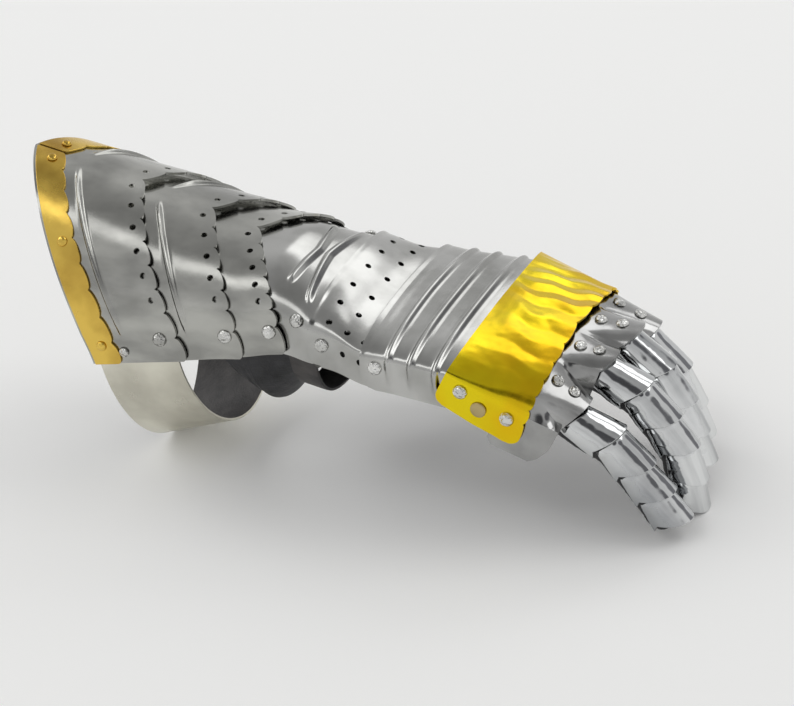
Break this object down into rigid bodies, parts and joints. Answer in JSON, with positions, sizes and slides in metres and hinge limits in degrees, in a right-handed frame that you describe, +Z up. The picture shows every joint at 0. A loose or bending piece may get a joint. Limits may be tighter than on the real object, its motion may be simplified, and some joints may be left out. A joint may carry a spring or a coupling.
{
  "type": "steel gauntlet",
  "caption": "Right-hand articulated gauntlet: pointed cuff, riveted overlapping plates, brass knuckle band, finger and thumb lames over a leather glove.",
  "frame": {"origin": "middle of the bounding box, on the ground the gauntlet rests on", "axes": "+X from the cuff to the fingertips, +Y to the thumb side, +Z up through the back of the hand"},
  "size_m": [0.3342, 0.135, 0.1479],
  "materials": {
    "plate_steel": "polished sheet steel with fine brushing",
    "mirror_steel": "near-mirror polished sheet steel",
    "rivet_steel": "polished domed rivet heads",
    "trim_brass": "hammered brass with light tarnish",
    "band_brass": "bright yellow polished brass",
    "copper": "flat copper-coloured rivet head",
    "glove_leather": "matt black glove leather",
    "strap_leather": "black strap leather"
  },
  "bodies": {
    "cuff": {"cuff_plate": "plate_steel", "cuff_trim_near": "trim_brass", "cuff_trim_far": "trim_brass", "trim_rivets": "trim_brass", "under_plate": "plate_steel", "under_plate_rivets": "rivet_steel", "cuff_pivots": "rivet_steel"},
    "upper_cuff_lame": {"upper_lame": "plate_steel", "upper_pivots": "rivet_steel"},
    "lower_cuff_lame": {"lower_lame": "plate_steel", "lower_pivots": "rivet_steel"},
    "wrist": {"wrist_lame": "plate_steel", "wrist_strap_rivets": "rivet_steel", "wrist_strap": "strap_leather", "glove_sleeve": "glove_leather"},
    "perforated": {"perforated_lame": "plate_steel", "wrist_pivots": "rivet_steel"},
    "back_of_hand": {"ribbed_lame": "plate_steel", "ribbed_pivots": "rivet_steel", "glove_hand": "glove_leather"},
    "knuckles": {"knuckle_band": "band_brass", "band_rear_pivots": "rivet_steel", "band_front_pivots": "rivet_steel", "copper_rivets": "copper"},
    "finger_base": {"finger_base_plate": "mirror_steel", "finger_base_rivets": "rivet_steel", "little_strap": "strap_leather", "ring_strap": "strap_leather", "middle_strap": "strap_leather", "index_strap": "strap_leather", "glove_little": "glove_leather", "glove_ring": "glove_leather", "glove_middle": "glove_leather", "glove_index": "glove_leather"},
    "little_finger_1": {"little_lame_1": "mirror_steel"},
    "little_finger_2": {"little_lame_2": "mirror_steel"},
    "little_finger_3": {"little_lame_3": "mirror_steel"},
    "little_fingertip": {"little_tip": "mirror_steel"},
    "ring_finger_1": {"ring_lame_1": "mirror_steel"},
    "ring_finger_2": {"ring_lame_2": "mirror_steel"},
    "ring_finger_3": {"ring_lame_3": "mirror_steel"},
    "ring_finger_4": {"ring_lame_4": "mirror_steel"},
    "ring_fingertip": {"ring_tip": "mirror_steel"},
    "middle_finger_1": {"middle_lame_1": "mirror_steel"},
    "middle_finger_2": {"middle_lame_2": "mirror_steel"},
    "middle_finger_3": {"middle_lame_3": "mirror_steel"},
    "middle_fingertip": {"middle_tip": "mirror_steel"},
    "index_finger_1": {"index_lame_1": "mirror_steel"},
    "index_finger_2": {"index_lame_2": "mirror_steel"},
    "index_fingertip": {"index_tip": "mirror_steel"},
    "thumb": {"thumb_plate": "mirror_steel", "thumb_rivet": "rivet_steel", "glove_thumb": "glove_leather"},
    "thumb_1": {"thumb_lame_1": "mirror_steel"},
    "thumb_2": {"thumb_tip": "mirror_steel"}
  },
  "joints": [
    {"name": "cuff_hinge_1", "type": "hinge", "parent": "cuff", "child": "upper_cuff_lame", "pos_m": [-0.0861, -0.00701, 0.07806], "axis": [0, 1, 0], "range_deg": [-5, 2]},
    {"name": "cuff_hinge_2", "type": "hinge", "parent": "upper_cuff_lame", "child": "lower_cuff_lame", "pos_m": [-0.0535, -0.00701, 0.08166], "axis": [0, 1, 0], "range_deg": [-5, 2]},
    {"name": "cuff_hinge_3", "type": "hinge", "parent": "lower_cuff_lame", "child": "wrist", "pos_m": [-0.03194, -0.00701, 0.08492], "axis": [0, 1, 0], "range_deg": [-5, 3]},
    {"name": "wrist_hinge", "type": "hinge", "parent": "wrist", "child": "perforated", "pos_m": [-0.00369, -0.00701, 0.08334], "axis": [0, 1, 0], "range_deg": [-6, 5], "deforming": ["glove_sleeve"]},
    {"name": "palm_hinge", "type": "hinge", "parent": "perforated", "child": "back_of_hand", "pos_m": [0.02548, -0.00701, 0.07893], "axis": [0, 1, 0], "range_deg": [-4, 4]},
    {"name": "knuckle_hinge", "type": "hinge", "parent": "back_of_hand", "child": "knuckles", "pos_m": [0.06933, -0.00701, 0.07525], "axis": [0, 1, 0], "range_deg": [-4, 5]},
    {"name": "finger_base_hinge", "type": "hinge", "parent": "knuckles", "child": "finger_base", "pos_m": [0.09009, -0.00701, 0.06322], "axis": [0, 1, 0], "range_deg": [-4, 5]},
    {"name": "little_hinge_1", "type": "hinge", "parent": "finger_base", "child": "little_finger_1", "pos_m": [0.11475, -0.04376, 0.0533], "axis": [0, 1, 0], "range_deg": [-8, 14], "deforming": ["glove_little", "little_strap"]},
    {"name": "little_hinge_2", "type": "hinge", "parent": "little_finger_1", "child": "little_finger_2", "pos_m": [0.1317, -0.04376, 0.04267], "axis": [0, 1, 0], "range_deg": [-14, 22]},
    {"name": "little_hinge_3", "type": "hinge", "parent": "little_finger_2", "child": "little_finger_3", "pos_m": [0.14161, -0.04376, 0.02948], "axis": [0, 1, 0], "range_deg": [-14, 22]},
    {"name": "little_hinge_4", "type": "hinge", "parent": "little_finger_3", "child": "little_fingertip", "pos_m": [0.14997, -0.04376, 0.01703], "axis": [0, 1, 0], "range_deg": [-14, 22]},
    {"name": "ring_hinge_1", "type": "hinge", "parent": "finger_base", "child": "ring_finger_1", "pos_m": [0.11978, -0.01926, 0.06537], "axis": [0, 1, 0], "range_deg": [-8, 14], "deforming": ["glove_ring", "ring_strap"]},
    {"name": "ring_hinge_2", "type": "hinge", "parent": "ring_finger_1", "child": "ring_finger_2", "pos_m": [0.13654, -0.01926, 0.05445], "axis": [0, 1, 0], "range_deg": [-14, 22]},
    {"name": "ring_hinge_3", "type": "hinge", "parent": "ring_finger_2", "child": "ring_finger_3", "pos_m": [0.14598, -0.01926, 0.04091], "axis": [0, 1, 0], "range_deg": [-14, 22]},
    {"name": "ring_hinge_4", "type": "hinge", "parent": "ring_finger_3", "child": "ring_finger_4", "pos_m": [0.153, -0.01926, 0.02766], "axis": [0, 1, 0], "range_deg": [-14, 22]},
    {"name": "ring_hinge_5", "type": "hinge", "parent": "ring_finger_4", "child": "ring_fingertip", "pos_m": [0.15493, -0.01926, 0.01379], "axis": [0, 1, 0], "range_deg": [-14, 22]},
    {"name": "middle_hinge_1", "type": "hinge", "parent": "finger_base", "child": "middle_finger_1", "pos_m": [0.12271, 0.00524, 0.06621], "axis": [0, 1, 0], "range_deg": [-8, 14], "deforming": ["glove_middle", "middle_strap"]},
    {"name": "middle_hinge_2", "type": "hinge", "parent": "middle_finger_1", "child": "middle_finger_2", "pos_m": [0.13633, 0.00524, 0.05156], "axis": [0, 1, 0], "range_deg": [-14, 22]},
    {"name": "middle_hinge_3", "type": "hinge", "parent": "middle_finger_2", "child": "middle_finger_3", "pos_m": [0.14327, 0.00524, 0.0366], "axis": [0, 1, 0], "range_deg": [-14, 22]},
    {"name": "middle_hinge_4", "type": "hinge", "parent": "middle_finger_3", "child": "middle_fingertip", "pos_m": [0.14764, 0.00524, 0.02225], "axis": [0, 1, 0], "range_deg": [-14, 22]},
    {"name": "index_hinge_1", "type": "hinge", "parent": "finger_base", "child": "index_finger_1", "pos_m": [0.12111, 0.02974, 0.05331], "axis": [0, 1, 0], "range_deg": [-8, 14], "deforming": ["glove_index", "index_strap"]},
    {"name": "index_hinge_2", "type": "hinge", "parent": "index_finger_1", "child": "index_finger_2", "pos_m": [0.13283, 0.02974, 0.03711], "axis": [0, 1, 0], "range_deg": [-14, 22]},
    {"name": "index_hinge_3", "type": "hinge", "parent": "index_finger_2", "child": "index_fingertip", "pos_m": [0.13763, 0.02974, 0.02133], "axis": [0, 1, 0], "range_deg": [-14, 22]},
    {"name": "thumb_hinge", "type": "hinge", "parent": "back_of_hand", "child": "thumb", "pos_m": [0.00603, 0.04319, 0.05613], "axis": [-0.7102, 0.2723, -0.6492], "range_deg": [-8, 10], "deforming": ["glove_thumb"]},
    {"name": "thumb_hinge_1", "type": "hinge", "parent": "thumb", "child": "thumb_1", "pos_m": [0.02996, 0.05283, 0.03399], "axis": [-0.7102, 0.2723, -0.6492], "range_deg": [-12, 20]},
    {"name": "thumb_hinge_2", "type": "hinge", "parent": "thumb_1", "child": "thumb_2", "pos_m": [0.04238, 0.05438, 0.02106], "axis": [-0.7102, 0.2723, -0.6492], "range_deg": [-12, 20]}
  ]
}
